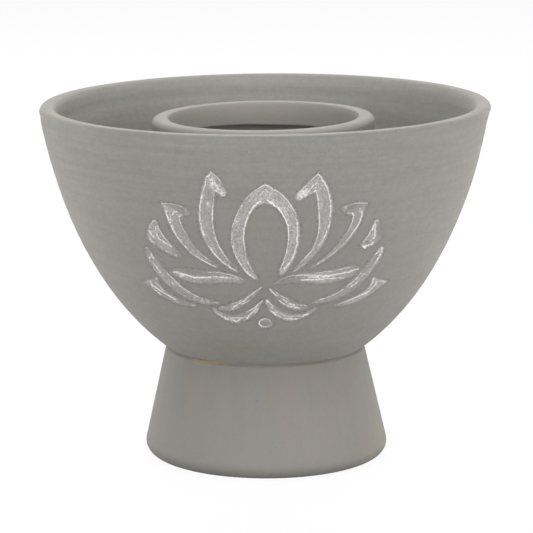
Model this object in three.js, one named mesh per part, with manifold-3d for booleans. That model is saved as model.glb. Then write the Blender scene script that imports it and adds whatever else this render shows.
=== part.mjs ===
import * as THREE from 'three';
import { mergeVertices } from 'three/addons/utils/BufferGeometryUtils.js';
import Module from 'manifold-3d';

// A thrown smudge bowl on a luted foot, with a loose cup standing inside and a lotus carved on the front.
// Millimetres, +Z up, the front towards -Y, the origin on the axis where the foot meets the table.

// Bowl
const rimDiameter = 150;
const rimHeight = 119.9;
const rimThickness = 4.8;
const rimRound = 0.9; // of the rim's two edges
const floorThickness = 6.5;
const neckDiameter = 66.6;
const neckHeight = 37.3;
const undersideDrop = 11.3; // from the neck down to the underside on the axis
const neckFlareOut = 34.3; // pull of the wall's curve as it leaves the neck
const neckFlareUp = 26;
const rimLeanOut = 0.7; // pull of the wall's curve as it reaches the rim
const rimLeanUp = 5.6;

// Foot, luted to the bowl with a layer of slip
const footDiameter = 81.6; // widest, just above the table
const footWall = 8;
const footOuterRound = 4;
const footInnerRound = 1.5;
const slipThickness = 0.8;
const slipRecess = 0.4; // slip behind the foot's faces
const jointClearance = 0.2; // slip to clay, on each side

// Inner cup, its base edge bedded on the curve of the bowl
const cupDiameter = 74.2;
const cupRimDrop = 4.7; // cup's rim below the bowl's rim
const cupRimThickness = 5;
const cupShoulderRound = 2; // outer edge of the cup's rim
const cupLipRound = 0.8; // inner edge of the cup's rim
const cupBandHeight = 8; // folded band inside the rim
const cupBandSlope = 0.6; // rise of the band's underside towards the wall
const cupWall = 2.8;
const cupFloor = 5;
const cupBaseRound = 6;
const cupCornerRound = 4;
const seatClearance = 0.3;

// Lotus, cut into the front of the bowl and part filled with white slip
const lotusRise = 15.7; // lowest stroke above the neck
const lotusMargin = 12.9; // highest stroke below the rim
const strokeDepth = 1.4;
const inlayRecess = 0.4; // slip below the skin of the bowl
const inlayClearance = 0.2;
const cutterOverhang = 1; // cutter outside the skin of the bowl

const claySmooth = { color: 0x9e9b94, roughness: 0.92, metalness: 0 };
const clayJoint = { color: 0xa9987c, roughness: 0.95, metalness: 0 };
const whiteSlip = { color: 0xd2d0ca, roughness: 0.9, metalness: 0 };

const facets = 60; // around the axis
const wallSteps = 10;
const undersideSteps = 4;
const roundSteps = 3; // in a quarter turn
const seatSteps = 200; // for finding where the cup beds
const stepsPerStation = 2; // along a stroke

// The lotus is drawn flat for one size of bowl and stretches to fit, with x across from its middle and z up
// from the foot of its seed. A stroke is a list of stations, each a point on its outer edge and the point
// across from it on its inner edge. Both edges are smooth curves through their points, and they turn sharply
// at the corner station.
const drawnHeight = 54; // from the foot of the seed to the highest tips
const drawnRimDiameter = 150;
const seedCentre = [0, 1.8];
const seedHalfWidth = 2.2;
const seedHalfHeight = 1.8;
const centrePetal = {
  corner: 6,
  stations: [
    [[-2.5, 17.5], [-2, 18]],
    [[-6.5, 21.3], [-4.5, 22]],
    [[-9.7, 27.5], [-6.3, 28]],
    [[-10.5, 33.5], [-6.8, 33.5]],
    [[-9, 39.8], [-5.8, 38.5]],
    [[-5.5, 46], [-3.4, 43]],
    [[0, 50.5], [0, 44.7]],
    [[5.7, 46.7], [3.8, 42.7]],
    [[9.7, 40.5], [6.5, 38.5]],
    [[10.6, 34], [7.4, 33.8]],
    [[9.8, 28], [6.9, 28]],
    [[7.7, 22.7], [5.6, 23.5]],
    [[5, 19.3], [4.3, 20.2]],
  ],
};
const leftTallPetal = {
  corner: 2,
  stations: [
    [[-11.9, 46.9], [-12.9, 46.1]],
    [[-14, 51.4], [-14.3, 47.2]],
    [[-16.7, 54], [-15.7, 48.2]],
    [[-19.2, 49.4], [-16, 45.2]],
    [[-20.5, 42], [-16.5, 40.4]],
    [[-20.2, 35.8], [-16.2, 34.6]],
    [[-17.7, 29], [-14.4, 29.4]],
    [[-13.2, 23.7], [-11.5, 24.5]],
    [[-8.8, 20.3], [-8.3, 20.8]],
  ],
};
const rightTallPetal = {
  corner: 2,
  stations: [
    [[9, 45.7], [10.2, 44.9]],
    [[12.2, 49.5], [13.3, 46.9]],
    [[16.5, 53.6], [15.7, 48]],
    [[19.1, 49.8], [16.3, 45.4]],
    [[20.9, 43.2], [16.8, 40.6]],
    [[20.3, 36.6], [16.8, 34.6]],
    [[17.9, 29.7], [15.1, 28.9]],
    [[13.5, 24.4], [12.2, 24.9]],
    [[9, 20.4], [8.5, 20.9]],
  ],
};
const leftHookedPetal = {
  corner: 2,
  stations: [
    [[-23.3, 40.5], [-23.6, 39.8]],
    [[-27.4, 42.6], [-25.6, 39.5]],
    [[-32.5, 42.8], [-26.9, 38.7]],
    [[-31.1, 39.4], [-26.4, 36.4]],
    [[-29.6, 35], [-24.9, 33]],
    [[-26.8, 30.4], [-22.5, 29]],
    [[-22.6, 26], [-19.2, 25.7]],
    [[-15, 21.6], [-14.5, 22.1]],
  ],
};
const rightHookedPetal = {
  corner: 2,
  stations: [
    [[23.6, 41.9], [23.9, 41]],
    [[27.5, 43], [25.9, 39.9]],
    [[32.1, 42.9], [27.7, 39]],
    [[30.7, 39.4], [27.1, 36.4]],
    [[29, 35], [25.6, 33.2]],
    [[25.9, 30.3], [22.8, 29.3]],
    [[21.6, 26.4], [19.3, 25.6]],
    [[14.7, 21.6], [14.2, 22.1]],
  ],
};
const leftWedge = {
  stations: [
    [[-35.2, 36.8], [-34.6, 36.8]],
    [[-36.6, 34], [-33.7, 34.2]],
    [[-36.9, 30], [-32.2, 31.6]],
    [[-33.6, 27.5], [-30.5, 29.4]],
    [[-30, 25.8], [-28.4, 27]],
    [[-26.8, 24.5], [-26.3, 25]],
  ],
};
const rightWedge = {
  stations: [
    [[35.6, 36.8], [35, 36.8]],
    [[36.2, 33.5], [33.9, 34.2]],
    [[36.3, 30.2], [32.7, 31.8]],
    [[34, 28.6], [31.6, 30.2]],
    [[31.2, 27.2], [30.1, 28.6]],
  ],
};
const leftOuterLeaf = {
  stations: [
    [[-38, 27], [-37.4, 27]],
    [[-37.2, 23.4], [-35.6, 24]],
    [[-34.5, 18.4], [-32.6, 19.8]],
    [[-30.4, 13.9], [-28.8, 16]],
    [[-25.2, 10.3], [-24.5, 12.3]],
    [[-20, 8.7], [-19.8, 10.2]],
    [[-14.6, 8.8], [-14.6, 9.4]],
  ],
};
const rightOuterLeaf = {
  stations: [
    [[37.6, 27.1], [36.9, 27.2]],
    [[36.8, 24.1], [35.3, 25]],
    [[34.3, 19.5], [32.4, 21]],
    [[30.5, 15], [28.6, 16.9]],
    [[26, 11.5], [24.4, 13.1]],
    [[20.4, 9.5], [19.8, 10.8]],
    [[14.9, 8.9], [14.9, 9.5]],
  ],
};
const leftMidLeaf = {
  stations: [
    [[-30.2, 18.9], [-30.5, 19.5]],
    [[-26, 17.2], [-26.2, 20.3]],
    [[-21.3, 16.1], [-21, 20.1]],
    [[-15.5, 16.7], [-15.2, 20.1]],
    [[-11, 17], [-10.9, 19.4]],
    [[-6.8, 16.8], [-6.9, 18]],
  ],
};
const rightMidLeaf = {
  stations: [
    [[3.3, 16.3], [3, 16.8]],
    [[8, 17.4], [7.2, 18.7]],
    [[13, 16.9], [11.5, 19.9]],
    [[18.7, 16.4], [17.5, 20.1]],
    [[24.5, 17.2], [23.5, 20.8]],
    [[29.6, 18.9], [29.6, 21.4]],
  ],
};
const leftLowLeaf = {
  stations: [
    [[-38.9, 13.9], [-34.5, 16.3]],
    [[-36.5, 12.4], [-34, 14]],
    [[-34, 10.3], [-32.4, 12]],
    [[-30, 8.4], [-29.1, 9.8]],
    [[-26, 7.4], [-25.5, 8.4]],
    [[-22, 7.1], [-22, 7.7]],
  ],
};
const rightLowLeaf = {
  stations: [
    [[39, 14.1], [34.3, 16.4]],
    [[36.4, 12.4], [33.9, 14]],
    [[34, 10.6], [32.5, 11.9]],
    [[30.2, 8.6], [29.4, 9.9]],
    [[26.4, 7.5], [25.9, 8.5]],
    [[22.3, 7.2], [22.3, 7.8]],
  ],
};
const leftUnderPetal = {
  stations: [
    [[-1.3, 14.6], [-0.9, 15.1]],
    [[-4.7, 10.8], [-4.9, 12.2]],
    [[-8.4, 7.6], [-9.4, 9.3]],
    [[-12.2, 6.4], [-12.8, 7.9]],
    [[-14.8, 6.8], [-14.8, 7.4]],
  ],
};
const rightUnderPetal = {
  stations: [
    [[1.4, 14.5], [1.1, 15]],
    [[3.9, 11], [4.9, 12.2]],
    [[7.2, 7.9], [9, 9.7]],
    [[10.7, 6.9], [11.8, 8.5]],
    [[13.6, 7.4], [13.6, 8]],
  ],
};
const leftSepal = {
  stations: [
    [[-0.9, 10.1], [-0.6, 10.7]],
    [[-3, 5.9], [-3.6, 7.6]],
    [[-6.8, 2.7], [-7.6, 5]],
    [[-10.4, 2.1], [-11.4, 4.5]],
    [[-14.2, 4.1], [-14.4, 5.6]],
    [[-17, 6.8], [-16.8, 7.3]],
  ],
};
const rightSepal = {
  stations: [
    [[0.5, 9.9], [0.8, 10.5]],
    [[1.9, 6.3], [3, 8]],
    [[5.2, 3.6], [6.4, 5.6]],
    [[8.9, 2.8], [10.2, 4.8]],
    [[13, 4.3], [13.6, 5.6]],
    [[16.9, 7], [16.7, 7.5]],
  ],
};

const wasm = await Module();
wasm.setup();

// A closed geometry as a solid, with the triangles that shrink to a line on the axis left out.
function solid(geometry) {
  geometry.deleteAttribute('normal');
  geometry.deleteAttribute('uv');
  const merged = mergeVertices(geometry);
  const corners = merged.index.array;
  const triangles = [];
  for (let i = 0; i < corners.length; i += 3) {
    const [a, b, c] = corners.slice(i, i + 3);
    if (a !== b && b !== c && c !== a) {
      triangles.push(a, b, c);
    }
  }
  const vertProperties = merged.attributes.position.array;
  const triVerts = new Uint32Array(triangles);
  return new wasm.Manifold(new wasm.Mesh({ numProp: 3, vertProperties, triVerts }));
}

function turned(profile) {
  return solid(new THREE.LatheGeometry(profile, facets).rotateX(Math.PI / 2));
}

// A shape drawn on the front view, carried from the axis out through the front of the bowl.
function frontPrism(shape) {
  const depth = rimDiameter / 2 + cutterOverhang;
  return solid(new THREE.ExtrudeGeometry(shape, { depth, bevelEnabled: false }).rotateX(Math.PI / 2));
}

function piece(name, shape, finish) {
  const cut = shape.getMesh();
  const geometry = new THREE.BufferGeometry();
  geometry.setAttribute('position', new THREE.BufferAttribute(new Float32Array(cut.vertProperties), 3));
  geometry.setIndex(new THREE.BufferAttribute(new Uint32Array(cut.triVerts), 1));
  geometry.computeVertexNormals();
  const mesh = new THREE.Mesh(geometry, new THREE.MeshStandardMaterial(finish));
  mesh.name = name;
  return mesh;
}

function point(r, z) {
  return new THREE.Vector2(r, z);
}

function arc(centre, radius, from, to, steps) {
  return new THREE.EllipseCurve(centre.x, centre.y, radius, radius, from, to, to < from).getPoints(steps);
}

// The bowl's outer curve: across the underside from the axis to the neck, then up the wall to the rim.
const rimLean = Math.atan2(rimLeanOut, rimLeanUp);
const rimOuter = point(rimDiameter / 2 - rimRound, rimHeight - rimRound);
const rimEdge = point(rimOuter.x + rimRound * Math.cos(rimLean), rimOuter.y - rimRound * Math.sin(rimLean));
const neck = point(neckDiameter / 2, neckHeight);
const undersideHeight = neckHeight - undersideDrop;
const undersidePull = point(neck.x - (undersideDrop * neckFlareOut) / neckFlareUp, undersideHeight);
const undersideCurve = new THREE.QuadraticBezierCurve(point(0, undersideHeight), undersidePull, neck);
const wallCurve = new THREE.CubicBezierCurve(
  neck,
  point(neck.x + neckFlareOut, neck.y + neckFlareUp),
  point(rimEdge.x - rimLeanOut, rimEdge.y - rimLeanUp),
  rimEdge,
);

// Points beside a curve, at a distance that may change along it: outside the bowl above zero, inside below.
// A curve leaves the axis square to it, so its points there stay on the axis.
function beside(curve, steps, distanceAt) {
  const points = [];
  for (let i = 0; i <= steps; i += 1) {
    const t = i / steps;
    const at = curve.getPoint(t);
    const along = at.x === 0 ? point(1, 0) : curve.getTangent(t);
    const distance = distanceAt(t);
    points.push(at.add(point(along.y * distance, -along.x * distance)));
  }
  return points;
}

function wallBeside(distance) {
  return beside(wallCurve, wallSteps, () => distance);
}

function undersideBeside(distance) {
  return beside(undersideCurve, undersideSteps, () => distance);
}

function innerWall(undersideCount, wallCount) {
  const floor = beside(undersideCurve, undersideCount, () => -floorThickness);
  const wall = beside(wallCurve, wallCount, (t) => -THREE.MathUtils.lerp(floorThickness, rimThickness, t));
  return [...floor, ...wall.slice(1)];
}

function bowlBody() {
  const outside = [...undersideBeside(0), ...wallBeside(0).slice(1)];
  const rimInner = point(rimOuter.x - rimThickness + 2 * rimRound, rimOuter.y);
  const rim = [
    ...arc(rimOuter, rimRound, 0, Math.PI / 2, roundSteps),
    ...arc(rimInner, rimRound, Math.PI / 2, Math.PI, roundSteps),
  ];
  const inside = innerWall(undersideSteps, wallSteps).slice(0, -1).reverse();
  return turned([...outside, ...rim, ...inside]);
}

// Everything inside the bowl's outer curve grown by a distance, as far up as the middle of the wall.
function undersideGrown(distance) {
  const wall = wallBeside(distance).slice(1, wallSteps / 2);
  const top = point(0, wall.at(-1).y);
  return turned([...undersideBeside(distance), ...wall, top]);
}

// The foot's wall, a flared ring that narrows to the neck and runs on into the bowl, drawn in on both faces.
function footRing(inset) {
  const base = point(footDiameter / 2 - footOuterRound, footOuterRound);
  const toNeck = neck.clone().sub(base);
  const slope = Math.atan2(toNeck.y, toNeck.x) - Math.acos(footOuterRound / toNeck.length());
  const outwards = point(Math.cos(slope), Math.sin(slope));
  const upwards = point(-outwards.y, outwards.x);
  const outerFoot = base.clone().addScaledVector(outwards, footOuterRound - inset);
  const top = toNeck.dot(upwards) + footWall;
  const thickness = footWall - 2 * inset;
  const outerTop = outerFoot.clone().addScaledVector(upwards, top);
  const innerTop = outerTop.clone().addScaledVector(outwards, -thickness);
  const insideFace = footOuterRound - inset - thickness;
  const innerRound = footInnerRound - inset;
  const innerReach = insideFace + innerRound + (footOuterRound - footInnerRound) * outwards.y;
  const innerBase = point(base.x + innerReach / outwards.x, footInnerRound);
  return turned([
    ...arc(base, footOuterRound - inset, -Math.PI / 2, 0, roundSteps),
    outerFoot,
    outerTop,
    innerTop,
    ...arc(innerBase, innerRound, slope + Math.PI, (3 * Math.PI) / 2, roundSteps),
    point(base.x, inset),
  ]);
}

function footBody() {
  return footRing(0).subtract(undersideGrown(slipThickness + 2 * jointClearance));
}

function slipBody() {
  const layer = undersideGrown(slipThickness + jointClearance).subtract(undersideGrown(jointClearance));
  return footRing(slipRecess).intersect(layer);
}

// The lowest that the cup's rounded base can stand with its clearance to the bowl's inner wall.
function cupSeatHeight() {
  const edgeCentre = cupDiameter / 2 - cupBaseRound;
  const reach = cupBaseRound + seatClearance;
  const heights = innerWall(seatSteps, seatSteps).map((wall) => {
    const across = Math.max(wall.x - edgeCentre, 0);
    return across < reach ? wall.y + Math.sqrt(reach ** 2 - across ** 2) - cupBaseRound : 0;
  });
  return Math.max(...heights);
}

function cupBody() {
  const outside = cupDiameter / 2;
  const base = cupSeatHeight();
  const rim = rimHeight - cupRimDrop;
  const bandFace = outside - cupRimThickness;
  const bandFoot = rim - cupBandHeight;
  const inside = outside - cupWall;
  const floor = base + cupFloor;
  const baseEdge = point(outside - cupBaseRound, base + cupBaseRound);
  const floorEdge = point(inside - cupCornerRound, floor + cupCornerRound);
  const shoulder = point(outside - cupShoulderRound, rim - cupShoulderRound);
  const lip = point(bandFace + cupLipRound, rim - cupLipRound);
  return turned([
    point(0, base),
    ...arc(baseEdge, cupBaseRound, -Math.PI / 2, 0, roundSteps),
    ...arc(shoulder, cupShoulderRound, 0, Math.PI / 2, roundSteps),
    ...arc(lip, cupLipRound, Math.PI / 2, Math.PI, roundSteps),
    point(bandFace, bandFoot),
    point(inside, bandFoot + cupBandSlope),
    ...arc(floorEdge, cupCornerRound, 0, -Math.PI / 2, roundSteps),
    point(0, floor),
  ]);
}

// A shell that follows the bowl's wall between two depths under its skin.
function skin(outerDepth, innerDepth) {
  const outside = wallBeside(-outerDepth);
  const inside = wallBeside(-innerDepth).reverse();
  return turned([...outside, ...inside, outside[0]]);
}

const stretchUp = (rimHeight - lotusMargin - neckHeight - lotusRise) / drawnHeight;
const stretchAcross = rimDiameter / drawnRimDiameter;

// A point of the drawing in its place on the front view.
function onBowl([x, z]) {
  return point(x * stretchAcross, neckHeight + lotusRise + z * stretchUp);
}

function edge(points, corner) {
  const parts = corner ? [points.slice(0, corner + 1), points.slice(corner)] : [points];
  return parts.flatMap((part, i) => {
    const curve = new THREE.SplineCurve(part).getPoints((part.length - 1) * stepsPerStation);
    return curve.slice(i > 0 ? 1 : 0);
  });
}

// A stroke's outline on the front view. With an inset the edges close in and each end stops one step short.
function strokeShape({ stations, corner }, inset) {
  const outer = edge(stations.map(([outside]) => onBowl(outside)), corner);
  const inner = edge(stations.map(([, inside]) => onBowl(inside)), corner);
  if (inset === 0) {
    return new THREE.Shape([...outer, ...inner.reverse()]);
  }
  const outerInset = [];
  const innerInset = [];
  for (let i = 1; i < outer.length - 1; i += 1) {
    const across = inner[i].clone().sub(outer[i]).setLength(inset);
    outerInset.push(outer[i].clone().add(across));
    innerInset.push(inner[i].clone().sub(across));
  }
  return new THREE.Shape([...outerInset, ...innerInset.reverse()]);
}

function seedShape(inset) {
  const { x, y } = onBowl(seedCentre);
  const across = seedHalfWidth * stretchAcross - inset;
  const up = seedHalfHeight * stretchUp - inset;
  return new THREE.Shape(new THREE.EllipseCurve(x, y, across, up).getPoints(4 * roundSteps).slice(1));
}

const strokes = {
  centre_petal: centrePetal,
  left_tall_petal: leftTallPetal,
  left_hooked_petal: leftHookedPetal,
  left_wedge: leftWedge,
  left_outer_leaf: leftOuterLeaf,
  left_mid_leaf: leftMidLeaf,
  left_low_leaf: leftLowLeaf,
  left_under_petal: leftUnderPetal,
  left_sepal: leftSepal,
  right_tall_petal: rightTallPetal,
  right_hooked_petal: rightHookedPetal,
  right_wedge: rightWedge,
  right_outer_leaf: rightOuterLeaf,
  right_mid_leaf: rightMidLeaf,
  right_low_leaf: rightLowLeaf,
  right_under_petal: rightUnderPetal,
  right_sepal: rightSepal,
};

const smudgeBowl = new THREE.Group();
const cutSkin = skin(-cutterOverhang, strokeDepth);
const inlaySkin = skin(inlayRecess, strokeDepth - inlayClearance);
let carvedBowl = bowlBody();

// Cuts one stroke into the bowl and lays its bed of slip in the cut.
function carve(name, outlineAt) {
  carvedBowl = carvedBowl.subtract(frontPrism(outlineAt(0)).intersect(cutSkin));
  const bed = frontPrism(outlineAt(inlayClearance)).intersect(inlaySkin);
  smudgeBowl.add(piece(`${name}_inlay`, bed, whiteSlip));
}

carve('seed', seedShape);
for (const [name, drawing] of Object.entries(strokes)) {
  carve(name, (inset) => strokeShape(drawing, inset));
}
smudgeBowl.add(piece('bowl', carvedBowl, claySmooth));
smudgeBowl.add(piece('foot', footBody(), claySmooth));
smudgeBowl.add(piece('luting_slip', slipBody(), clayJoint));
smudgeBowl.add(piece('inner_cup', cupBody(), claySmooth));

export default smudgeBowl;
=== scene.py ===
import bpy
import numpy as np
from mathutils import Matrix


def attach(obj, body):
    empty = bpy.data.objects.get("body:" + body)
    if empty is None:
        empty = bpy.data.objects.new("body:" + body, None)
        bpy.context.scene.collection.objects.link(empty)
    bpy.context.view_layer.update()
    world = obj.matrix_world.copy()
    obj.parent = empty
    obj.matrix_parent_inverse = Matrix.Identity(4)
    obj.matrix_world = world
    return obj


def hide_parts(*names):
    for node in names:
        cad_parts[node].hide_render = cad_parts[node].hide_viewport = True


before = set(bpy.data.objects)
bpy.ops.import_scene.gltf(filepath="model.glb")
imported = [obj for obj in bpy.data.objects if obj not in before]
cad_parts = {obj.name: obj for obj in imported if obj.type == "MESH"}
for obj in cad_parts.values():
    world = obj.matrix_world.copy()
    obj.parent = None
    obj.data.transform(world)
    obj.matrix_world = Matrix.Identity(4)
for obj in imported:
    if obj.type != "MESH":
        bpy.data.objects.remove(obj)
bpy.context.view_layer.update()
scene = bpy.context.scene
scene.view_settings.view_transform = "Standard"
mm = 0.001
tiny = 1e-9
print("frame loaded:", len(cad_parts), "nodes")


class Value:
    # one shader socket; a sum on it adds a Math node to its sheet
    def __init__(self, sheet, socket):
        self.sheet = sheet
        self.socket = socket

    def work(self, operation, first, second):
        return self.sheet.node("ShaderNodeMath", {0: first, 1: second}, operation=operation)

    def __add__(self, other):
        return self.work("ADD", self, other)

    def __sub__(self, other):
        return self.work("SUBTRACT", self, other)

    def __rsub__(self, other):
        return self.work("SUBTRACT", other, self)

    def __mul__(self, other):
        return self.work("MULTIPLY", self, other)

    __radd__ = __add__
    __rmul__ = __mul__


class Sheet:
    # the node sheet of a material or of the world
    reliefDepth = 0.0002
    sheen = 0.2

    def __init__(self, owner):
        owner.use_nodes = True
        self.tree = owner.node_tree
        self.tree.nodes.clear()

    def node(self, kind, sockets=None, out=0, **settings):
        made = self.tree.nodes.new(kind)
        for key, value in settings.items():
            setattr(made, key, value)
        for key, value in (sockets or {}).items():
            if isinstance(value, Value):
                self.tree.links.new(value.socket, made.inputs[key])
            else:
                made.inputs[key].default_value = value
        return Value(self, made.outputs[out]) if made.outputs else None

    def step(self, value, low, high):  # 0 below low, 1 above high, smooth between
        return self.node("ShaderNodeMapRange", {"Value": value, "From Min": low, "From Max": high},
                         interpolation_type="SMOOTHSTEP")

    def band(self, value, low, high, soft):  # 1 between low and high, fading over soft on both sides
        return self.step(value, low - soft, low) * (1 - self.step(value, high, high + soft))

    def blend(self, share, first, second, how="MIX"):
        return self.node("ShaderNodeMix", {0: share, 6: first, 7: second}, 2, data_type="RGBA", blend_type=how)

    def cloud(self, place, noise):  # noise by its scale in 1/m, one number or one for each axis, detail and roughness
        scale, detail, roughness = noise
        stretch = np.broadcast_to(scale, 3).tolist()
        stretched = self.node("ShaderNodeMapping", {"Vector": place, "Scale": stretch})
        return self.node("ShaderNodeTexNoise", {"Vector": stretched, "Scale": 1, "Detail": detail,
                                      "Roughness": roughness})

    def mark(self, name):  # a value that the mesh carries at each point
        return self.node("ShaderNodeAttribute", {}, "Fac", attribute_name=name)

    def matte(self, colour, roughness, height, strength):  # the material's surface, with a fine relief
        bump = self.node("ShaderNodeBump", {"Strength": strength, "Distance": self.reliefDepth, "Height": height})
        surface = self.node("ShaderNodeBsdfPrincipled", {
            "Base Color": colour, "Roughness": roughness, "Specular IOR Level": self.sheen, "Normal": bump})
        self.node("ShaderNodeOutputMaterial", {"Surface": surface})


def tone(red, green, blue):
    # a colour as it shows on a screen, 0 to 255, in linear light by the sRGB curve
    shown = np.array([red, green, blue]) / 255
    light = np.where(shown <= 0.04045, shown / 12.92, ((shown + 0.055) / 1.055) ** 2.4)
    return (*light.tolist(), 1)


# clay: what the four bodies of clay share, where their own finish says nothing else. A noise is its scale, detail and
# roughness, but streaks and warm patches have each body's own scale; an edge is the two values between which a mark
# sets in
clay = {
    "cloudNoise": (26, 4, 0.6), "fineNoise": (420, 3, 0.7), "grainNoise": (1500, 2, 0.6),
    "streakNoise": (4, 0.65), "warmNoise": (3, 0.6), "warmEdge": (0.45, 0.75),
    "chanceNoise": (90, 1, 0.5), "chanceEdge": (0.56, 0.62), "pitEdge": (0.03, 0.09),
    "bareNoise": ((90, 90, 420), 3, 0.7), "bareEdge": (0.47, 0.62), "bareAcross": (-0.022, -0.008, 0.005),
    "roughNoise": (900, 2, 0.7), "roughEdge": (0.38, 0.58),
    "crumbNoise": (1500, 2, 0.7), "crumbEdge": (0.53, 0.62), "wipedEdge": (0.36, 0.52),
    "brushedLow": 0.6, "brushedMore": 0.8, "streakRise": (-0.1, -0.05),
    "grainHeight": 0.4, "fineHeight": 0.6, "streakHeight": 0.5, "bump": 0.35, "roughness": 0.86, "roughGrain": 0.1,
}


def clayFinish(name, own):
    # matte clay: soft clouds, brush streaks, grain, warm patches and a few pits over one grey
    look = {**clay, **own}
    material = bpy.data.materials.new(name)
    sheet = Sheet(material)
    place = sheet.node("ShaderNodeTexCoord", out="Object")
    across, rise = (sheet.node("ShaderNodeSeparateXYZ", {0: place}, axis) for axis in (0, 2))
    clouds, fine, grain, chance = (
        sheet.cloud(place, look[kind + "Noise"]) for kind in ("cloud", "fine", "grain", "chance"))
    streaks, warmth = (
        sheet.cloud(place, (look[kind + "Scale"], *look[kind + "Noise"])) for kind in ("streak", "warm"))
    cells = sheet.node("ShaderNodeTexVoronoi", {"Vector": place, "Scale": look["pitScale"]}, "Distance")
    pits = (1 - sheet.step(cells, *look["pitEdge"])) * sheet.step(chance, *look["chanceEdge"])
    brushed = look["brushedLow"] + look["brushedMore"] * sheet.step(rise, *look["streakRise"])
    shade = 1 + look["clouds"] * (clouds - 0.5) + look["streaks"] * brushed * (streaks - 0.5)
    shade = shade + look["fine"] * (fine - 0.5) + look["grain"] * (grain - 0.5)
    shade = shade * (1 - look["pits"] * pits)
    colour = sheet.blend(look["warm"] * sheet.step(warmth, *look["warmEdge"]), look["grey"], look["tan"])
    height = grain * look["grainHeight"] + fine * look["fineHeight"] + streaks * look["streakHeight"] - pits
    if "bareRise" in look:  # bare tan clay in broken traces along a band of heights, most of it on the left
        traces = sheet.step(sheet.cloud(place, look["bareNoise"]), *look["bareEdge"])
        left = sheet.band(across, *look["bareAcross"])
        bare = sheet.band(rise, *look["bareRise"]) * traces * (look["bareRest"] + look["bareLeft"] * left)
        colour = sheet.blend(bare, colour, look["bareClay"])
    if "white" in look:  # painted shade: dark lines and darker specks beside the cuts; and white that was wiped past them
        rough, crumbs = (sheet.cloud(place, look[kind + "Noise"]) for kind in ("rough", "crumb"))
        # painted shade, broken by noise, only where the mesh's cutShade mark lies beside a cut
        dark = look["cutShade"] * sheet.step(rough, *look["roughEdge"])
        dark = dark + look["cutShadeSpecks"] * sheet.step(crumbs, *look["crumbEdge"])
        shade = shade * (1 - sheet.mark("cutShade") * dark)
        chalk = sheet.mark("wiped") * (1 - sheet.step(crumbs, *look["wipedEdge"]))
        colour = sheet.blend(chalk, colour, look["white"])
    colour = sheet.blend(1, colour, shade, "MULTIPLY")
    sheet.matte(colour, look["roughness"] + look["roughGrain"] * grain, height, look["bump"])
    return material


def slipFinish(name, look):
    # chalky white slip: the wash that the mesh carries, broken by specks, by scratches along the stroke and by patches
    material = bpy.data.materials.new(name)
    sheet = Sheet(material)
    place = sheet.node("ShaderNodeTexCoord", out="Object")
    path = sheet.node("ShaderNodeCombineXYZ", {"X": sheet.mark("along"), "Y": sheet.mark("across")})
    specks = sheet.step(sheet.cloud(place, look["speckNoise"]), *look["speckEdge"])
    scratches = sheet.step(sheet.cloud(path, look["scratchNoise"]), *look["scratchEdge"])
    patches = sheet.cloud(place, look["patchNoise"])
    broken = look["least"] + look["speckle"] * specks + look["scratch"] * scratches
    thick = sheet.mark("wash") * broken + look["patches"] * (patches - 0.5)
    cover = sheet.node("ShaderNodeClamp", {"Value": thick})
    colour = sheet.blend(cover, look["groove"], look["white"])
    height = specks * look["speckHeight"] + cover
    sheet.matte(colour, look["roughness"] - look["smoother"] * cover, height, look["bump"])
    return material


def makePiece(name, points, faces, marks=None):
    # a closed mesh from points in mm and arrays of corners, turned to face outwards by the sign of its volume
    triangles = np.concatenate([f[:, [0, k, k + 1]] for f in faces for k in range(1, f.shape[1] - 1)])
    first, second, third = (points[triangles[:, k]] for k in range(3))
    if np.sum(first * np.cross(second, third)) < 0:
        faces = [f[:, ::-1] for f in faces]
    corners = np.concatenate([f.ravel() for f in faces])
    sizes = np.concatenate([np.full(len(f), f.shape[1]) for f in faces])
    mesh = bpy.data.meshes.new(name)
    mesh.vertices.add(len(points))
    mesh.loops.add(len(corners))
    mesh.polygons.add(len(sizes))
    mesh.vertices.foreach_set("co", (points * mm).ravel())
    mesh.loops.foreach_set("vertex_index", corners)
    mesh.polygons.foreach_set("loop_start", np.cumsum(sizes) - sizes)
    mesh.polygons.foreach_set("use_smooth", np.ones(len(sizes), bool))
    for mark, values in (marks or {}).items():
        mesh.attributes.new(mark, "FLOAT", "POINT").data.foreach_set("value", values)
    mesh.update(calc_edges=True)
    mesh.validate()
    piece = bpy.data.objects.new(name, mesh)
    scene.collection.objects.link(piece)
    return piece


def dress(piece, body, nodes, finish):
    piece.data.materials.append(finish)
    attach(piece, body)
    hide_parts(*nodes)


def ringFaces(rows, columns, closed=False):
    # quads between neighbouring rings of points; the last ring joins the first where closed
    here = np.arange(rows * columns).reshape(rows, columns)
    right, above = np.roll(here, -1, 1), np.roll(here, -1, 0)
    quads = np.stack([here, right, np.roll(above, -1, 1), above], -1)
    return (quads if closed else quads[:-1]).reshape(-1, 4)


def ringPiece(name, grid, poles=(), marks=None):
    # a piece from rings of points: a closed tube, or with poles a fan of triangles from its first and its last ring
    rows, columns = grid.shape[:2]
    faces = [ringFaces(rows, columns, not len(poles))]
    points = grid.reshape(-1, 3)
    if len(poles):
        left = np.arange(columns)
        right = (left + 1) % columns
        last = (rows - 1) * columns
        below, above = np.repeat(len(points) + np.array([[0], [1]]), columns, 1)
        faces += [np.stack([right, left, below], -1), np.stack([last + left, last + right, above], -1)]
        points = np.concatenate([points, poles])
    marks = {mark: np.pad(values.ravel(), (0, len(poles))) for mark, values in (marks or {}).items()}
    print(name + ":", len(points), "points")
    return makePiece(name, points, faces, marks)


def turn(profile, angles):
    # each point (r, z) of a profile carried round the axis: x = r sin a, y = -r cos a, with a = 0 at the front
    r, z, a = profile[:, :1], profile[:, 1:], angles[None, :]
    return np.stack(np.broadcast_arrays(r * np.sin(a), -r * np.cos(a), z), -1)


def fullTurn(count):
    # angles once round, evenly spaced from the front
    return np.linspace(0, 2 * np.pi, count, endpoint=False)


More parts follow.
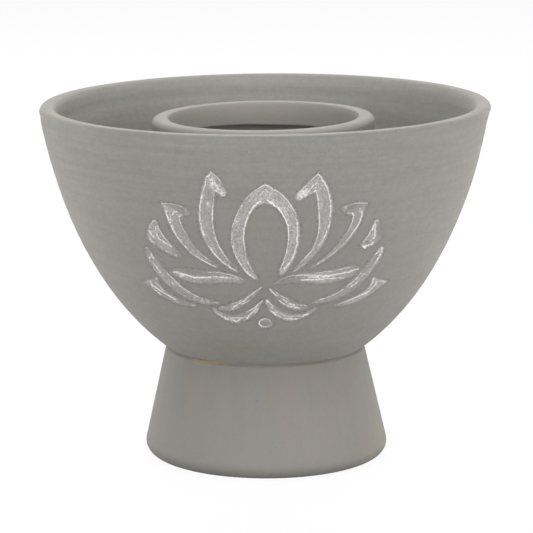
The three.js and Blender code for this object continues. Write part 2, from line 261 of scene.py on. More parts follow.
def arc(centre, radius, start, end, count):
    # points on a circle between two angles
    angle = np.linspace(start, end, count)
    return np.stack([centre[0] + radius * np.cos(angle), centre[1] + radius * np.sin(angle)], -1)


def lipArc(centre, reach, drop, count):
    # a quarter of an ellipse from the top of a rim to its inner face
    return np.asarray(centre) + arc((0, 0), 1, np.pi / 2, np.pi, count) * [reach, drop]


def line(start, end, count):
    # points along a straight line, both ends included
    return np.asarray(start) + (np.asarray(end) - np.asarray(start)) * np.linspace(0, 1, count)[:, None]


def bezier(handles, t):
    # a Bezier curve by interpolating between its handles again and again; also its outward normals
    rows = [np.asarray(handle, float) + 0 * t[:, None] for handle in handles]
    while len(rows) > 2:
        rows = [near + (far - near) * t[:, None] for near, far in zip(rows, rows[1:])]
    along = rows[1] - rows[0]
    normal = np.stack([along[:, 1], -along[:, 0]], -1)
    return rows[0] + along * t[:, None], normal / np.linalg.norm(normal, axis=1, keepdims=True)


def ease(x):
    # 0 to 1 with flat ends: 3 x squared - 2 x cubed
    x = np.clip(x, 0, 1)
    return x * x * (3 - 2 * x)


def bell(distance, width):
    # 1 in the middle and falling off on both sides: e to the power of -(distance / width) squared
    return np.exp(-(distance / width) ** 2)


def travelled(path):
    # distance along a path of points from its start
    return np.concatenate([[0], np.cumsum(np.linalg.norm(np.diff(path, axis=0), axis=1))])


def sway(angles, waves):
    # a slow wave round the pot: cosines given as whole turns, size and phase
    return sum(size * np.cos(turns * angles + phase) for turns, size, phase in waves)


def tilted(points, tilt, radius, low, high):
    # a rim that isn't level: its plane drops away from its highest point, and the wall below eases down with it
    x, y, z = np.moveaxis(points, -1, 0)
    drop = np.hypot(*tilt) * radius - tilt[0] * x - tilt[1] * y
    return np.stack([x, y, z - drop * ease((z - low) / (high - low))], -1)


print("tools ready")

# bowl: outside from the axis to the neck and up the wall, over the rim and down the inside, in mm; a rim's rounds are
# the radius of its outer edge and the reach and drop of its inner edge, and rows and steps count points
bowl = {
    "rimRadius": 75, "rimHeight": 119.9, "rimThickness": 4.8, "floorThickness": 6.5,
    "frontRounds": (0.35, 3.2, 3.2), "restRounds": (1.8, 2.9, 7), "roundFrom": (0.7, 1.5), "rimFrom": 117.2,
    "neck": (33.3, 37.3), "undersideDrop": 11.3, "neckFlare": (34.3, 26), "rimLean": (0.7, 5.6), "insideBelow": 1.1,
    "carvedHeights": (51, 109), "carvedHalfAngle": np.radians(47),
    "carvedRows": 160, "carvedColumns": 340, "plainColumns": 66, "plainRows": 9, "rimSteps": (4, 9, 5, 9),
    "undersideRows": 8, "insideRows": 40, "floorRows": 9, "curveRows": 900,
    "rimTilt": (0.0081, 0.0042), "tiltFrom": 106, "narrowed": 0.0012,
    "lean": [(0.25, 37.3, 85), (0.15, 92, 108), (-0.42, 113, 119.9)],
    "ripple": 0.05, "rippleLength": 4.3, "rippleDrift": (1.3, 7), "rippleSides": (0.6, 0.4, 1.1),
    "finish": {
        "grey": tone(152, 150.5, 145), "tan": tone(158, 149, 137), "white": tone(214, 213, 208),
        "streakScale": (30, 30, 560), "streakRise": (0.085, 0.112), "warmScale": (30, 30, 46), "pitScale": 170,
        "clouds": 0.13, "streaks": 0.25, "fine": 0.2, "grain": 0.24, "warm": 0.3, "pits": 0.15,
        # painted shade beside the cuts: strength of its broken dark line and of its darker specks
        "cutShade": 0.09, "cutShadeSpecks": 0.3,
        "bareRise": (0.0366, 0.0378, 0.0008), "bareLeft": 0.5, "bareRest": 0.12, "bareClay": tone(174, 158, 130),
    },
}
neck = np.array(bowl["neck"])
rimSlope = np.arctan2(*bowl["rimLean"])
rimOut = np.array([np.cos(rimSlope), -np.sin(rimSlope)])
rimTop = np.array([bowl["rimRadius"], bowl["rimHeight"]])
rimEdge = rimTop + bowl["frontRounds"][0] * (rimOut - 1)
wallHandles = [neck, neck + bowl["neckFlare"], rimEdge - bowl["rimLean"], rimEdge]
undersideLow = neck[1] - bowl["undersideDrop"]
undersidePull = neck[0] - bowl["undersideDrop"] * bowl["neckFlare"][0] / bowl["neckFlare"][1]
undersideHandles = [(0, undersideLow), (undersidePull, undersideLow), neck]
wallCurve, wallNormal = bezier(wallHandles, np.linspace(0, 1, bowl["curveRows"]))


def wallAt(z):
    # radius of the bowl's outside and its outward normal (r, z) at a height, read from the wall's curve
    r = np.interp(z, wallCurve[:, 1], wallCurve[:, 0])
    return r, *(np.interp(z, wallCurve[:, 1], wallNormal[:, k]) for k in (0, 1))


def leanAt(z):
    # how far the bowl has swayed to the left of its foot at a height, and back again towards the rim
    return sum(amount * ease((z - low) / (high - low)) for amount, low, high in bowl["lean"])


def handMade(points):
    # the thrower's hand: the wall sways to the left and narrows from side to side, and the rim isn't level
    x, y, z = np.moveaxis(points, -1, 0)
    rise = ease((z - neck[1]) / (bowl["rimHeight"] - neck[1]))
    swayed = np.stack([x * (1 - bowl["narrowed"] * rise) - leanAt(z), y, z], -1)
    return tilted(swayed, bowl["rimTilt"], bowl["rimRadius"], bowl["tiltFrom"], bowl["rimHeight"])


def frontToRest(front, rest, angles):
    # the front's profile carried round the axis, changing into the rest's with the angle from the front
    away = np.arccos(np.cos(angles))
    start, end = bowl["roundFrom"]
    share = ease((away - start) / (end - start))[:, None]
    return turn(front, angles) * (1 - share) + turn(rest, angles) * share


# lotus: strokes cut into the front. A station is a point on the stroke's outer edge and one on its inner edge, x across
# from the middle and z up from the foot of the seed, in mm; the ends taper over the given shares of the length. The
# white on a stroke is a thin body, lines drawn along it (strength, then points along and across from the outer edge)
# and spots (amount, place along and across, and how far it reaches both ways); lines and spots are in hundredths
lotus = {
    "baseHeight": 53, "stepsPerStation": 16, "across": 49, "pointed": 0.12, "pathLength": 0.2,
    "floorDepth": 0.55, "wallSlope": 0.6, "lip": 0.15, "film": 0.08, "bedding": 0.3, "lineFade": 0.03,
    "lineWidth": 0.17, "lineStrength": 1.7, "lineKnots": 90, "lineWobble": 0.08, "lineBreaks": 0.75,
    "edgeOut": (0.12, 0.3), "edgeWaver": 0.05, "edgeKnot": 0.7, "edgeFullAt": 0.6,
    "near": 3, "cutFrom": -0.8, "shadeAt": -0.55, "shadeWidth": 0.4,
    "haze": 0.048, "hazeReach": 0.9, "fleck": 0.3, "fleckReach": 0.4, "faint": 0.16, "faintWidth": 0.4,
    "seedCentre": (0, 1.8), "seedHalf": (2.2, 1.8), "seedWidth": 0.45, "seedDepth": 0.45, "seedBright": 2.3,
    "seedColumns": 48, "seedRings": 14, "seedMiddle": 0.08, "seedPath": 2, "seedBody": 0.06, "seedLeast": 0.6,
    "seedWaves": (1.4, 1.2, 0.5), "seedLineAt": 0.28, "seedLineWidth": 0.22,
    "faintLines": [[(-34.5, 24.2), (-33.2, 23.3), (-30.6, 22.2), (-27.1, 21.1)],
                   [(36.1, 25.4), (33.9, 23.9), (32.0, 22.7), (28.8, 21.3)]],
    "finish": {
        "groove": tone(151, 149.5, 144), "white": tone(251, 251, 248),
        "speckNoise": (1700, 3, 0.7), "speckEdge": (0.44, 0.58), "speckHeight": 0.5, "patchNoise": (420, 3, 0.65),
        "scratchNoise": ((160, 2300, 1), 2, 0.6), "scratchEdge": (0.4, 0.62), "roughness": 0.95, "smoother": 0.1,
        "least": 0.28, "speckle": 1.15, "scratch": 0.6, "patches": 0.16, "bump": 0.4,
    },
}
strokes = {
    "centre_petal": {
        "corner": 6, "taper": (0.05, 0.05), "body": 0.25,
        "lines": [(35, 3, 10, 10, 6, 25, 0, 43, 0), (80, 43, 0, 47, 0, 50, 6, 54, 7), (50, 54, 7, 66, 10),
                  (45, 68, 14, 80, 17, 87, 12), (35, 87, 12, 97, 50), (30, 4, 75, 20, 95),
                  (85, 20, 96, 30, 97, 40, 93, 46, 87), (95, 53, 85, 58, 96, 74, 97), (55, 74, 97, 97, 96)],
        "spots": [(30, 6, 10, 3, 30), (10, 50, 40, 8, 50), (25, 31, 25, 1.2, 10), (10, 62, 70, 6, 40)],
        "stations": [(-2.5, 17.5, -2, 18), (-6.5, 21.3, -4.5, 22), (-9.7, 27.5, -6.3, 28), (-10.5, 33.5, -6.8, 33.5),
                     (-9, 39.8, -5.8, 38.5), (-5.5, 46, -3.4, 43), (0, 50.5, 0, 44.7), (5.7, 46.7, 3.8, 42.7),
                     (9.7, 40.5, 6.5, 38.5), (10.6, 34, 7.4, 33.8), (9.8, 28, 6.9, 28), (7.7, 22.7, 5.6, 23.5),
                     (5, 19.3, 4.3, 20.2)]},
    "left_tall_petal": {
        "corner": 2, "taper": (0.04, 0.06), "body": 0.2,
        "lines": [(55, 12, 3, 25, 0, 30, 10, 34, 5), (50, 34, 5, 38, 15, 45, 6, 68, 10), (60, 30, 96, 50, 96),
                  (35, 50, 96, 70, 95), (45, 68, 86, 86, 88), (60, 74, 8, 87, 5, 97, 35),
                  (30, 6, 80, 20, 96, 28, 96)],
        "spots": [(62, 28, 45, 5, 28), (50, 16, 65, 7, 22), (35, 3, 50, 4, 60), (60, 45.5, 60, 1.2, 10),
                  (-12, 39, 55, 4, 30), (40, 66.5, 10, 1.5, 12), (-20, 93, 65, 3, 30), (25, 45, 8, 2, 10)],
        "stations": [(-11.9, 46.9, -12.9, 46.1), (-14, 51.4, -14.3, 47.2), (-16.7, 54, -15.7, 48.2),
                     (-18.9, 51, -16, 45.2), (-20.5, 42, -16.5, 40.4), (-20.2, 35.8, -16.2, 34.6),
                     (-17.7, 29, -14.4, 29.4), (-13.2, 23.7, -11.5, 24.5), (-8.8, 20.3, -8.3, 20.8)]},
    "right_tall_petal": {
        "corner": 2, "taper": (0.03, 0.08), "body": 0.22,
        "lines": [(90, 20, 4, 25, 8, 28, 8), (75, 28, 8, 45, 12, 55, 15), (60, 55, 15, 62, 10, 70, 20, 76, 35),
                  (30, 2, 5, 20, 4), (90, 20, 94, 27, 96, 40, 96), (60, 40, 96, 76, 96), (60, 76, 80, 82, 90, 89, 90),
                  (25, 10, 70, 20, 60, 30, 50)],
        "spots": [(62, 8, 50, 5, 45), (8, 25, 50, 8, 50), (-6, 56, 50, 8, 40), (40, 83, 90, 2, 15)],
        "stations": [(9, 45.7, 10.2, 44.9), (12.2, 49.5, 13.3, 46.9), (16.5, 53.6, 15.7, 48),
                     (19.1, 49.8, 16.3, 45.4), (20.9, 43.2, 16.8, 40.6), (20.3, 36.6, 16.8, 34.6),
                     (17.9, 29.7, 15.1, 28.9), (13.5, 24.4, 12.2, 24.9), (9, 20.4, 8.5, 20.9)]},
    "left_hooked_petal": {
        "corner": 2, "taper": (0.06, 0.06), "body": 0.19,
        "lines": [(50, 10, 8, 20, 4, 27, 5, 31, 12, 36, 25, 40, 10), (50, 22, 70, 28, 65, 34, 60, 40, 40),
                  (45, 18, 93, 40, 96, 57, 96), (50, 38, 10, 44, 4, 60, 8, 86, 5), (70, 86, 5, 97, 10),
                  (35, 42, 30, 50, 17, 60, 17), (50, 78, 92, 91, 85)],
        "spots": [(-17, 12, 50, 10, 100), (20, 30, 65, 4, 25), (25, 7, 40, 2, 30), (-20, 95, 60, 3, 30),
                  (12, 50, 10, 6, 20)],
        "stations": [(-23.3, 40.5, -23.6, 39.8), (-27.4, 42.6, -25.6, 39.5), (-32.5, 42.8, -26.9, 38.7),
                     (-31.1, 39.4, -26.4, 36.4), (-29.6, 35, -24.9, 33), (-26.8, 30.4, -22.5, 29),
                     (-22.6, 26, -19.2, 25.7), (-15, 21.6, -14.5, 22.1)]},
    "right_hooked_petal": {
        "corner": 2, "taper": (0.06, 0.08), "body": 0.13,
        "lines": [(65, 16, 4, 25, 4, 29, 6), (30, 5, 10, 16, 4), (30, 13, 90, 21, 85), (130, 22, 86, 27, 95, 43, 96),
                  (55, 43, 96, 58, 95), (70, 35, 35, 40, 20, 45, 9, 58, 10, 63, 20, 70, 20), (25, 26, 50, 36, 45),
                  (30, 70, 20, 95, 30)],
        "spots": [(-12, 12, 50, 10, 100), (60, 7.5, 35, 2, 20), (20, 58, 12, 3, 15), (15, 85, 40, 8, 50)],
        "stations": [(23.6, 41.9, 23.9, 41), (27.5, 43, 25.9, 39.9), (32.1, 42.9, 27.7, 39), (30.7, 39.4, 27.1, 36.4),
                     (29, 35, 25.6, 33.2), (25.9, 30.3, 22.8, 29.3), (21.6, 26.4, 19.3, 25.6),
                     (14.7, 21.6, 14.2, 22.1)]},
    "left_wedge": {
        "taper": (0.02, 0.12), "body": 0.19,
        "lines": [(35, 6, 5, 22, 5), (65, 26, 10, 32, 25, 41, 35), (45, 17, 65, 30, 60, 45, 55, 60, 70, 70, 80),
                  (45, 15, 95, 63, 95), (35, 40, 6, 50, 10), (25, 70, 6, 92, 10)],
        "spots": [(100, 0, 50, 5, 200), (40, 69, 85, 3, 12), (-8, 90, 50, 20, 200), (12, 30, 45, 10, 40)],
        "stations": [(-35.2, 36.8, -34.6, 36.8), (-36.6, 34, -33.7, 34.2), (-36.9, 30, -32.2, 31.6),
                     (-33.6, 27.5, -30.5, 29.4), (-30, 25.8, -28.4, 27), (-26.8, 24.5, -26.3, 25)]},
    "right_wedge": {
        "taper": (0.02, 0.02), "body": 0.2,
        "lines": [(60, 14, 70, 25, 60, 35, 50, 60, 40, 71, 45), (60, 10, 96, 75, 96, 87, 93), (35, 20, 85, 34, 80),
                  (85, 68, 20, 77, 6, 85, 15, 90, 25, 100, 30)],
        "spots": [(160, 0, 80, 4, 200), (120, 98, 20, 3, 30), (-17, 35, 10, 25, 25), (-25, 80, 55, 5, 20),
                  (50, 96, 30, 4, 25), (-20, 95, 85, 5, 20)],
        "stations": [(35.6, 36.8, 35, 36.8), (36.2, 33.5, 33.9, 34.2), (36.3, 30.2, 32.7, 31.8),
                     (34, 28.6, 31.6, 30.2), (31.2, 27.2, 30.1, 28.6)]},
    "left_outer_leaf": {
        "taper": (0.04, 0.08), "body": 0.14,
        "lines": [(70, 12, 92, 15, 72, 20, 55), (60, 16, 35, 19, 15, 22, 0), (45, 44, 40, 48, 40, 53, 45),
                  (80, 39, 100, 44, 97, 60, 98), (55, 60, 98, 72, 97, 86, 97), (45, 48, 72, 55, 75, 63, 80),
                  (30, 24, 25, 32, 35, 40, 35), (25, 42, 5, 50, 10), (25, 62, 60, 72, 70)],
        "spots": [(60, 0, 30, 3, 50), (-12, 6, 20, 3, 30), (40, 20, 100, 1.5, 15), (8, 32, 40, 8, 40),
                  (25, 83, 40, 1.5, 30), (30, 88, 55, 1.2, 30), (20, 75, 70, 3, 30), (30, 97, 30, 2, 40),
                  (-14, 92, 75, 2.5, 30)],
        "stations": [(-38, 27, -37.4, 27), (-37.2, 23.4, -35.6, 24), (-34.5, 18.4, -32.6, 19.8),
                     (-30.4, 13.9, -28.8, 16), (-25.2, 10.3, -24.5, 12.3), (-20, 8.7, -19.8, 10.2),
                     (-14.6, 8.8, -14.6, 9.4)]},
    "right_outer_leaf": {
        "taper": (0.04, 0.1), "body": 0.13,
        "lines": [(15, 26, 20, 42, 20), (50, 42, 78, 52, 72, 62, 80), (40, 50, 25, 56, 40, 62, 50),
                  (75, 66, 80, 72, 72, 80, 75, 91, 80), (30, 15, 85, 19, 95), (20, 40, 40, 50, 50),
                  (50, 5, 40, 11, 20, 17, 15, 24, 20)],
        "spots": [(90, 4, 50, 1.4, 30), (40, 2, 50, 4, 100), (30, 13, 65, 3, 25), (30, 16.5, 80, 1.5, 20),
                  (40, 18, 15, 1.2, 15), (50, 25, 20, 1.2, 15), (-10, 20, 50, 3, 30)],
        "stations": [(37.6, 27.1, 36.9, 27.2), (36.8, 24.1, 35.3, 25), (34.3, 19.5, 32.4, 21), (30.5, 15, 28.6, 16.9),
                     (26, 11.5, 24.4, 13.1), (20.4, 9.5, 19.8, 10.8), (14.9, 8.9, 14.9, 9.5)]},
    "left_mid_leaf": {
        "taper": (0.12, 0.06), "body": 0.08, "haze": 0.16,
        "lines": [(110, 8, 48, 13, 42, 18, 33, 22, 38, 26, 40), (50, 10, 55, 16, 50, 22, 45),
                  (110, 26, 40, 32, 36, 40, 40, 50, 42, 56, 48), (55, 56, 48, 66, 45, 75, 50),
                  (50, 50, 92, 70, 93, 82, 90), (80, 82, 90, 93, 93, 98, 97), (30, 75, 50, 92, 55),
                  (25, 14, 10, 20, 25)],
        "spots": [(12, 35, 25, 30, 25), (20, 70, 45, 8, 25), (20, 88, 70, 5, 30), (8, 75, 30, 20, 40)],
        "stations": [(-30.2, 18.9, -30.5, 19.5), (-26, 17.2, -26.2, 20.3), (-21.3, 16.1, -21, 20.1),
                     (-15.5, 16.7, -15.2, 20.1), (-11, 17, -10.9, 19.4), (-6.8, 16.8, -6.9, 18)]},
    "right_mid_leaf": {
        "taper": (0.12, 0.05), "body": 0.08, "haze": 0.128,
        "lines": [(35, 4, 95, 30, 95), (100, 31, 80, 38, 73, 50, 68, 58, 58, 65, 50),
                  (90, 65, 50, 78, 45, 90, 40, 100, 50), (65, 35, 20, 50, 25, 60, 30), (45, 60, 30, 70, 20, 82, 6),
                  (45, 54, 95, 65, 90, 75, 80, 82, 85, 92, 96), (50, 45, 50, 60, 45, 72, 38)],
        "spots": [(42, 58, 45, 15, 32), (12, 85, 40, 12, 30), (-6, 12, 40, 12, 100)],
        "stations": [(3.3, 16.3, 3, 16.8), (8, 17.4, 7.2, 18.7), (13, 16.9, 11.5, 19.9), (18.7, 16.4, 17.5, 20.1),
                     (24.5, 17.2, 23.5, 20.8), (29.6, 18.9, 29.6, 21.4)]},
    "left_low_leaf": {
        "taper": (0, 0.12), "body": 0.11,
        "lines": [(130, 0, 28, 3, 32, 6, 38), (70, 6, 40, 12, 28, 18, 20, 24, 26, 32, 36, 40, 42),
                  (60, 40, 42, 47, 50, 57, 50, 65, 52), (60, 0, 88, 8, 85),
                  (60, 10, 65, 18, 70, 26, 76, 34, 75, 42, 72), (40, 24, 0, 30, 5, 36, 10, 43, 6)],
        "spots": [(20, 60, 55, 6, 40), (30, 94, 40, 3, 100), (30, 67, 10, 2, 20), (15, 3, 50, 5, 100)],
        "stations": [(-38.9, 13.9, -34.5, 16.3), (-36.5, 12.4, -34, 14), (-34, 10.3, -32.4, 12),
                     (-30, 8.4, -29.1, 9.8), (-26, 7.4, -25.5, 8.4), (-22, 7.1, -22, 7.7)]},
    "right_low_leaf": {
        "taper": (0, 0.12), "body": 0.16,
        "lines": [(100, 0, 18, 4, 22, 8, 35), (100, 9, 42, 13, 55, 16, 48), (80, 16, 42, 24, 40, 32, 42, 40, 45),
                  (60, 40, 45, 48, 50, 54, 58), (60, 54, 60, 62, 85, 75, 90, 88, 85),
                  (65, 0, 85, 10, 85, 20, 85, 30, 88, 39, 92)],
        "spots": [(15, 75, 80, 20, 40), (25, 4, 20, 4, 30), (10, 50, 50, 6, 40), (20, 46, 45, 4, 30)],
        "stations": [(39, 14.1, 34.3, 16.4), (36.4, 12.4, 33.9, 14), (34, 10.6, 32.5, 11.9), (30.2, 8.6, 29.4, 9.9),
                     (26.4, 7.5, 25.9, 8.5), (22.3, 7.2, 22.3, 7.8)]},
    "left_under_petal": {
        "taper": (0.05, 0.1), "body": 0.12,
        "lines": [(110, 0, 60, 6, 85, 13, 97, 20, 97, 26, 92), (60, 26, 92, 32, 75, 36, 65), (50, 14, 75, 20, 60),
                  (75, 27, 75, 30, 58, 36, 50, 42, 50, 47, 53), (90, 47, 53, 52, 42, 56, 33, 59, 28),
                  (40, 59, 28, 66, 8), (55, 38, 80, 46, 87, 52, 95, 58, 98), (40, 24, 0, 30, 5, 36, 18, 42, 30),
                  (25, 78, 95, 90, 98, 97, 60)],
        "spots": [(80, 3, 70, 4, 100), (15, 18, 70, 5, 30), (-10, 23, 35, 3, 20), (15, 55, 40, 6, 30),
                  (8, 80, 60, 15, 60)],
        "stations": [(-1.4, 14.9, -0.9, 15.6), (-4.7, 10.8, -4.9, 12.2), (-8.4, 7.6, -9.4, 9.3),
                     (-12.2, 6.4, -12.8, 7.9), (-14.8, 6.8, -14.8, 7.4)]},
    "right_under_petal": {
        "taper": (0.04, 0.1), "body": 0.11,
        "lines": [(120, 0, 70, 3, 80, 6, 85), (70, 8, 0, 10, 3, 13, 25, 16, 40, 20, 38, 22, 48),
                  (50, 30, 10, 35, 4, 40, 12, 46, 20), (60, 46, 20, 55, 20, 64, 25), (85, 64, 25, 70, 26, 77, 20),
                  (50, 30, 56, 40, 50, 50, 45, 60, 52), (80, 15, 97, 20, 85, 25, 80, 30, 85),
                  (50, 30, 85, 36, 92, 42, 72), (40, 62, 70, 74, 80, 82, 90, 87, 77, 93, 70)],
        "spots": [(140, 3, 60, 5, 200), (-10, 34, 70, 5, 10), (12, 55, 30, 15, 30)],
        "stations": [(1.4, 14.5, 1.1, 15), (3.9, 11, 4.9, 12.2), (7.2, 7.9, 9, 9.7), (10.7, 6.9, 11.8, 8.5),
                     (13.6, 7.4, 13.6, 8)]},
    "left_sepal": {
        "taper": (0.04, 0.1), "body": 0.17, "haze": 0.192,
        "lines": [(130, 4, 100, 8, 100, 12, 92, 20, 87, 24, 90), (60, 24, 90, 32, 97),
                  (80, 13, 60, 17, 50, 22, 42, 28, 38, 33, 15, 36, 12), (35, 13, 10, 22, 15),
                  (40, 34, 20, 40, 40, 45, 48), (75, 45, 42, 48, 20, 52, 15, 57, 22, 63, 38),
                  (45, 45, 50, 50, 58, 57, 52, 62, 42), (55, 65, 40, 70, 12, 75, 0), (35, 70, 45, 75, 15),
                  (30, 75, 10, 85, 15, 93, 0)],
        "spots": [(120, 5, 100, 3, 50), (14, 60, 35, 12, 35), (14, 82, 35, 10, 50), (50, 91, 100, 2, 30)],
        "stations": [(-0.9, 10.1, -0.6, 10.7), (-3, 5.9, -3.6, 7.6), (-6.8, 2.7, -7.6, 5), (-10.4, 2.1, -11.4, 4.5),
                     (-14.2, 4.1, -14.4, 5.6), (-17, 6.8, -16.8, 7.3)]},
    "right_sepal": {
        "taper": (0.04, 0.1), "body": 0.17, "haze": 0.16,
        "lines": [(100, 4, 45, 8, 65, 12, 80, 18, 87), (80, 16, 50, 19, 50), (70, 13, 0, 20, 3, 25, 20, 29, 45),
                  (30, 20, 10, 35, 15, 50, 20), (75, 50, 25, 56, 25, 61, 22, 66, 10),
                  (30, 33, 50, 45, 50, 60, 60, 70, 50), (30, 64, 60, 72, 40, 76, 15),
                  (100, 74, 60, 78, 42, 82, 20, 85, 12), (60, 80, 55, 84, 80, 88, 100)],
        "spots": [(90, 1, 50, 3, 200), (40, 28, 45, 2, 20), (13, 45, 35, 15, 40), (25, 79, 35, 5, 30)],
        "stations": [(0, 10.3, 0.4, 10.9), (1.9, 6.3, 3, 8), (5.2, 3.6, 6.4, 5.6), (8.9, 2.8, 10.2, 4.8),
                     (13, 4.3, 13.6, 5.6), (16.9, 7, 16.7, 7.5)]},
}


def smoothRail(points, corner):
    # a uniform Catmull-Rom curve through the points, with a sharp turn at the corner point
    halves = [points[:corner + 1], points[corner:]] if corner else [points]
    t = np.linspace(0, 1, lotus["stepsPerStation"], endpoint=False)[None, :, None]
    rail = []
    for half in halves:
        padded = np.concatenate([half[:1], half, half[-1:]])[:, None, :]
        before, here, there, after = padded[:-3], padded[1:-2], padded[2:-1], padded[3:]
        bend = 2 * before - 5 * here + 4 * there - after + t * (3 * (here - there) + after - before)
        rail.append((here + 0.5 * t * (there - before + t * bend)).reshape(-1, 2))
    return np.concatenate([*rail, points[-1:]])


def onSwayed(flat):
    # the front view's x and z moved against the bowl's sway, so that the strokes end where they were drawn
    placed = np.asarray(flat, float) + [0, lotus["baseHeight"]]
    return np.stack([placed[..., 0] + leanAt(placed[..., 1]), placed[..., 1]], -1)


def strokeRails(stroke, order):
    # the two edges of a stroke on the front view, drawn together towards its tapered ends, then moved out by a
    # steady amount and a waver from knot to knot, less where the stroke is thin
    stations = onSwayed(np.reshape(stroke["stations"], (-1, 2, 2)))
    outer, inner = (smoothRail(stations[:, edge], stroke.get("corner")) for edge in (0, 1))
    along = np.linspace(0, 1, len(outer))
    first, last = stroke["taper"]
    start = np.clip(along / first, 0, 1) if first else 1
    width = np.sqrt(np.minimum(start, np.clip((1 - along) / last, 0, 1)))
    half = (inner - outer) / 2 * np.maximum(width, lotus["pointed"])[:, None]
    middle = (outer + inner) / 2
    run = travelled(middle)
    knots = np.arange(0, run[-1] + lotus["edgeKnot"], lotus["edgeKnot"])
    hand = np.random.default_rng([order, 1])
    reach = np.linalg.norm(half, axis=1)
    outwards = half / np.maximum(reach, tiny)[:, None]
    outerMove, innerMove = (
        (steady + np.interp(run, knots, hand.normal(0, lotus["edgeWaver"], len(knots))))[:, None]
        * outwards * ease(reach / lotus["edgeFullAt"])[:, None] for steady in lotus["edgeOut"])
    return middle - half - outerMove, middle + half + innerMove


def seedRing(share, angles):
    # the seed's ellipse on the front view, drawn in to a share of its size
    circle = np.stack([np.outer(share, np.cos(angles)), np.outer(share, np.sin(angles))], -1)
    return onSwayed(circle * lotus["seedHalf"] + lotus["seedCentre"])


def distanceInside(points, outline):
    # distance from each point to the nearest side of a closed outline, above zero inside it
    start, end = outline, np.roll(outline, -1, 0)
    side = end - start
    reach = points[:, None, :] - start[None]
    share = np.clip(np.sum(reach * side, -1) / np.maximum(np.sum(side * side, -1), tiny), 0, 1)
    nearest = np.linalg.norm(reach - side * share[..., None], axis=-1).min(1)
    level = points[:, 1:]
    crosses = (start[:, 1] > level) != (end[:, 1] > level)
    height = np.where(side[:, 1] == 0, 1, side[:, 1])
    crosses &= points[:, :1] < start[:, 0] + side[:, 0] * (level - start[:, 1]) / height
    return np.where(crosses.sum(1) % 2 == 1, nearest, -nearest)


def grooveDepth(inside):
    # a rounded lip, then a sloping wall that eases into a floor: floor times 1 - exp(-slope times distance / floor)
    ramp = 0.5 * (inside + np.sqrt(inside ** 2 + lotus["lip"] ** 2))
    return lotus["floorDepth"] * (1 - np.exp(-lotus["wallSlope"] * ramp / lotus["floorDepth"]))


def seedDepth(inside):
    # a ring-shaped cut that follows the seed's edge, deepest a little inside it
    return lotus["seedDepth"] * bell(inside - lotus["seedWidth"], lotus["seedWidth"])


def onWall(flat, depth):
    # a point of the front view laid on the bowl's outside, sunk along the wall's normal
    x, z = np.moveaxis(flat, -1, 0)
    r, normalR, normalZ = wallAt(z)
    back = np.sqrt(r ** 2 - x ** 2)
    return np.stack([x - depth * normalR * x / r, -back + depth * normalR * back / r, z - depth * normalZ], -1)


seedTurns = fullTurn(lotus["seedColumns"])
rails = {name: strokeRails(stroke, order) for order, (name, stroke) in enumerate(strokes.items())}
outlines = {name: np.concatenate([outer, inner[::-1]]) for name, (outer, inner) in rails.items()}
outlines["seed"] = seedRing(np.ones(1), seedTurns)[0]


def carvedInto(flat):
    # over points of the front view: depth of the cuts, a line of painted shade just outside each, and white wiped on
    # the wall
    maps = np.zeros((3, len(flat)))
    for name, outline in outlines.items():
        low, high = outline.min(0) - lotus["near"], outline.max(0) + lotus["near"]
        near = np.all((flat > low) & (flat < high), axis=1)
        inside = distanceInside(flat[near], outline)
        outside = np.minimum(inside, 0)
        cut = seedDepth(inside) if name == "seed" else grooveDepth(inside)
        haze = strokes.get(name, lotus).get("haze", lotus["haze"]) * np.exp(outside / lotus["hazeReach"])
        maps[:, near] = np.maximum(maps[:, near], [
            np.where(inside > lotus["cutFrom"], cut, 0), bell(inside - lotus["shadeAt"], lotus["shadeWidth"]),
            haze + lotus["fleck"] * bell(outside, lotus["fleckReach"])])
    for path in lotus["faintLines"]:
        there = onSwayed(path)
        gap = distanceInside(flat, np.concatenate([there, there[::-1]]))
        maps[2] = np.maximum(maps[2], lotus["faint"] * bell(gap, lotus["faintWidth"]))
    return maps


def overRim(outerRound, innerReach, innerDrop):
    # from the top of the wall round the rim's outer edge, along its flat top and down a quarter of an ellipse
    wallSteps, outerSteps, topSteps, innerSteps = bowl["rimSteps"]
    outer = rimTop - outerRound
    innerFoot = rimTop[1] - innerDrop
    inner = np.array([np.interp(innerFoot, innerWall[::-1, 1], innerWall[::-1, 0]) + innerReach, innerFoot])
    wallTop = [wallAt(bowl["rimFrom"])[0], bowl["rimFrom"]]
    return np.concatenate([
        line(wallTop, outer + outerRound * rimOut, wallSteps)[1:],
        arc(outer, outerRound, -rimSlope, np.pi / 2, outerSteps)[1:],
        line(outer + [0, outerRound], inner + [0, innerDrop], topSteps)[1:-1],
        lipArc(inner, innerReach, innerDrop, innerSteps)])


carvedLow, carvedHigh = bowl["carvedHeights"]
heights = np.concatenate([np.linspace(low, high, rows)[1:] for low, high, rows in (
    (neck[1], carvedLow, bowl["plainRows"]), (carvedLow, carvedHigh, bowl["carvedRows"]),
    (carvedHigh, bowl["rimFrom"], bowl["plainRows"]))])
wallRadius, wallOutR, wallOutZ = wallAt(heights)
underside = bezier(undersideHandles, np.linspace(0, 1, bowl["undersideRows"]))[0][1:]
share = np.linspace(1, 0, bowl["insideRows"])
innerCurve, innerNormal = bezier(wallHandles, share)
thickness = bowl["floorThickness"] + (bowl["rimThickness"] - bowl["floorThickness"]) * share
innerWall = innerCurve - innerNormal * thickness[:, None]
floorCurve, floorNormal = bezier(undersideHandles, np.linspace(1, 0, bowl["floorRows"])[1:-1])
insideTop = rimTop[1] - bowl["insideBelow"] * bowl["restRounds"][2]
frontProfile, restProfile = (np.concatenate([
    underside, np.stack([wallRadius, heights], -1), overRim(*bowl[rounds]),
    innerWall[innerWall[:, 1] < insideTop], floorCurve - floorNormal * bowl["floorThickness"]])
    for rounds in ("frontRounds", "restRounds"))
half = bowl["carvedHalfAngle"]
